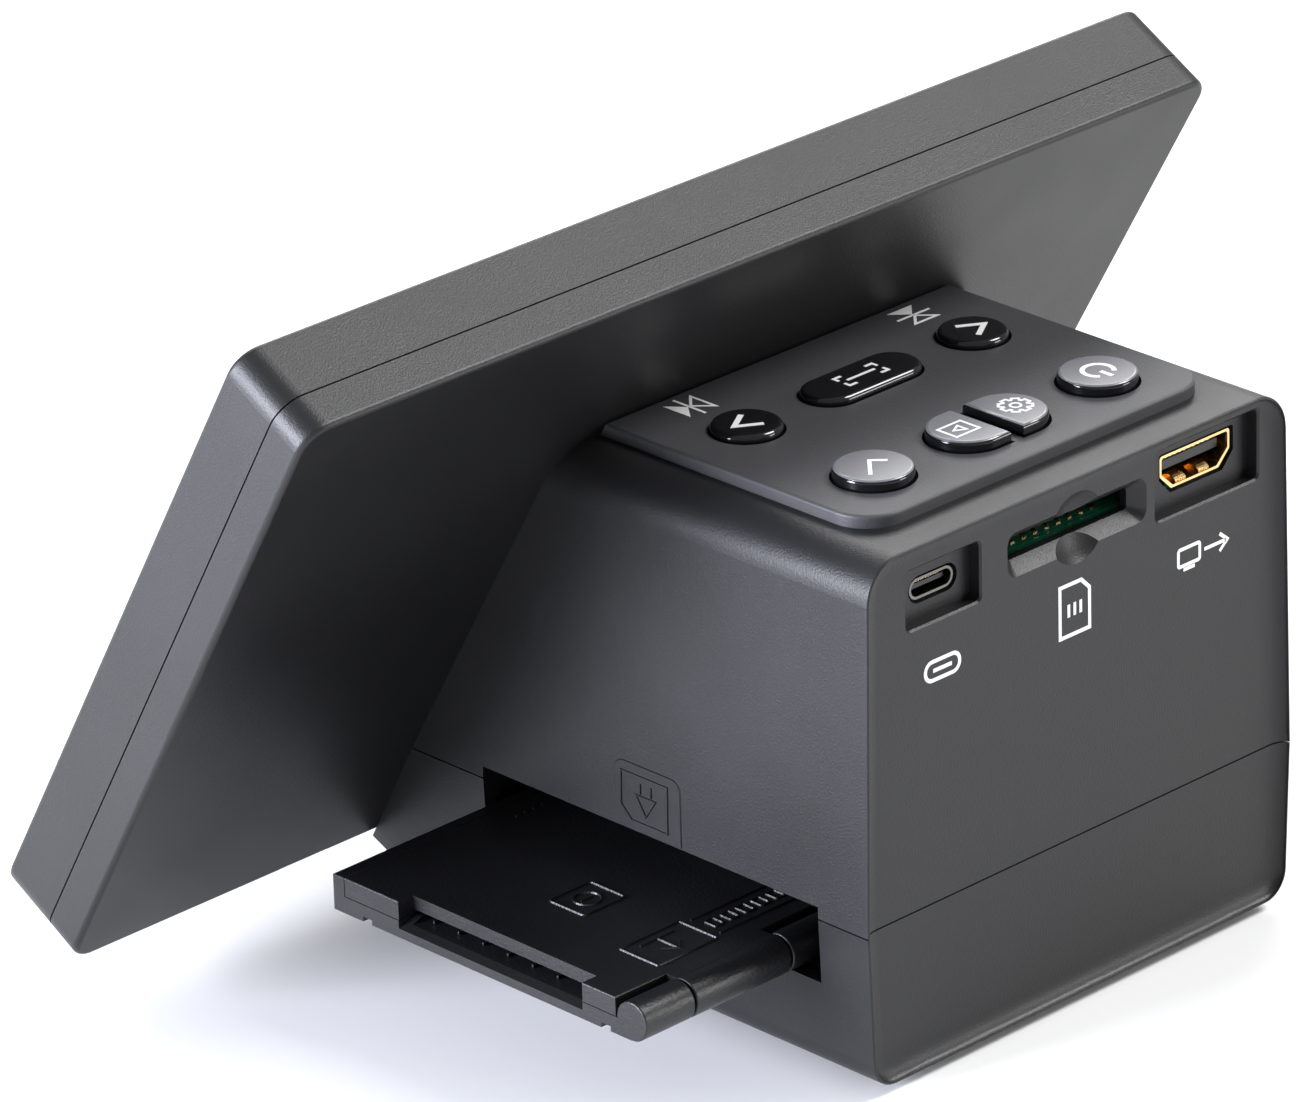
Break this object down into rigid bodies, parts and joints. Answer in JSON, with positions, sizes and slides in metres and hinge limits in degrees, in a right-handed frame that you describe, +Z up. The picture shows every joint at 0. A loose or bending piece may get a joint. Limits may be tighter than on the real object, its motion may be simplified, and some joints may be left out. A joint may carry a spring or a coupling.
{
  "type": "film and slide scanner",
  "caption": "Desktop film and slide scanner with a tilted screen leaning on a wedge-shaped body, a keypad on top, rear sockets and a side film tray.",
  "frame": {"origin": "on the table, in the middle of the base, under the optical axis", "axes": "+Z up, +Y towards the socket side so that the screen faces -Y, +X towards the side the film tray comes out of"},
  "size_m": [0.1848, 0.1194, 0.1184],
  "materials": {
    "case_plastic": "fine spark-eroded texture, charcoal",
    "keypad_plastic": "satin charcoal with a fine texture",
    "button_gloss": "polished black with white printed symbols",
    "tray_plastic": "fine satin black",
    "foot_rubber": "matt black",
    "screen_glass": "clear cover glass with a black printed border",
    "display": "dark display panel, switched off",
    "tinplate": "pressed sheet steel",
    "circuit_board": "green solder mask",
    "switch_plastic": "black moulded",
    "socket_steel": "nickel-plated",
    "socket_gold": "gold-plated",
    "contact_plastic": "black insulator",
    "optic_plastic": "flat black, against stray light",
    "light_box_white": "white reflector",
    "diffuser_white": "milky acrylic",
    "lens_glass": "coated optical glass",
    "led_package": "phosphor-filled",
    "sensor_package": "silicon under a cover glass",
    "screw_steel": "zinc-plated",
    "ribbon_film": "amber polyimide film"
  },
  "bodies": {
    "scanner_body": {"upper_shell": "case_plastic", "lower_shell": "case_plastic", "keypad_plate": "keypad_plastic", "feet": "foot_rubber", "screen_bezel": "case_plastic", "screen_rear_shell": "case_plastic", "screen_glass": "screen_glass", "lcd_panel": "display", "lcd_backlight": "tinplate", "screen_board": "circuit_board", "screen_ribbon": "ribbon_film", "keypad_board": "circuit_board", "key_switches": "switch_plastic", "main_board": "circuit_board", "data_socket": "socket_steel", "data_tongue": "contact_plastic", "video_socket": "socket_gold", "video_tongue": "contact_plastic", "card_socket": "socket_steel", "tray_guide": "optic_plastic", "camera_housing": "optic_plastic", "lens_barrel": "optic_plastic", "lens_glass": "lens_glass", "sensor_board": "circuit_board", "image_sensor": "sensor_package", "sensor_ribbon": "ribbon_film", "light_box": "light_box_white", "diffuser": "diffuser_white", "led_board": "circuit_board", "leds": "led_package", "case_screws": "screw_steel", "chassis_screws": "screw_steel", "screen_screws": "screw_steel", "board_screws": "screw_steel", "keypad_screws": "screw_steel"},
    "film_tray": {"tray_frame": "tray_plastic", "tray_lid": "tray_plastic", "tray_hinge_pin": "screw_steel"},
    "button_previous": {"key_previous": "button_gloss"},
    "button_next": {"key_next": "button_gloss"},
    "button_scan": {"key_scan": "button_gloss"},
    "button_ok": {"key_ok": "button_gloss"},
    "button_power": {"key_power": "button_gloss"},
    "button_playback": {"key_playback": "button_gloss"},
    "button_settings": {"key_settings": "button_gloss"}
  },
  "joints": [
    {"name": "tray_slide", "type": "slide", "parent": "scanner_body", "child": "film_tray", "axis": [1, 0, 0], "range_m": [0, 0.09]},
    {"name": "previous_press", "type": "slide", "parent": "scanner_body", "child": "button_previous", "axis": [0, 0, -1], "range_m": [0, 0.0006], "stiffness_N_per_m": 300, "springref_m": -0.002},
    {"name": "next_press", "type": "slide", "parent": "scanner_body", "child": "button_next", "axis": [0, 0, -1], "range_m": [0, 0.0006], "stiffness_N_per_m": 300, "springref_m": -0.002},
    {"name": "scan_press", "type": "slide", "parent": "scanner_body", "child": "button_scan", "axis": [0, 0, -1], "range_m": [0, 0.0006], "stiffness_N_per_m": 300, "springref_m": -0.002},
    {"name": "ok_press", "type": "slide", "parent": "scanner_body", "child": "button_ok", "axis": [0, 0, -1], "range_m": [0, 0.0006], "stiffness_N_per_m": 300, "springref_m": -0.002},
    {"name": "power_press", "type": "slide", "parent": "scanner_body", "child": "button_power", "axis": [0, 0, -1], "range_m": [0, 0.0006], "stiffness_N_per_m": 300, "springref_m": -0.002},
    {"name": "playback_press", "type": "slide", "parent": "scanner_body", "child": "button_playback", "axis": [0, 0, -1], "range_m": [0, 0.0006], "stiffness_N_per_m": 300, "springref_m": -0.002},
    {"name": "settings_press", "type": "slide", "parent": "scanner_body", "child": "button_settings", "axis": [0, 0, -1], "range_m": [0, 0.0006], "stiffness_N_per_m": 300, "springref_m": -0.002}
  ]
}
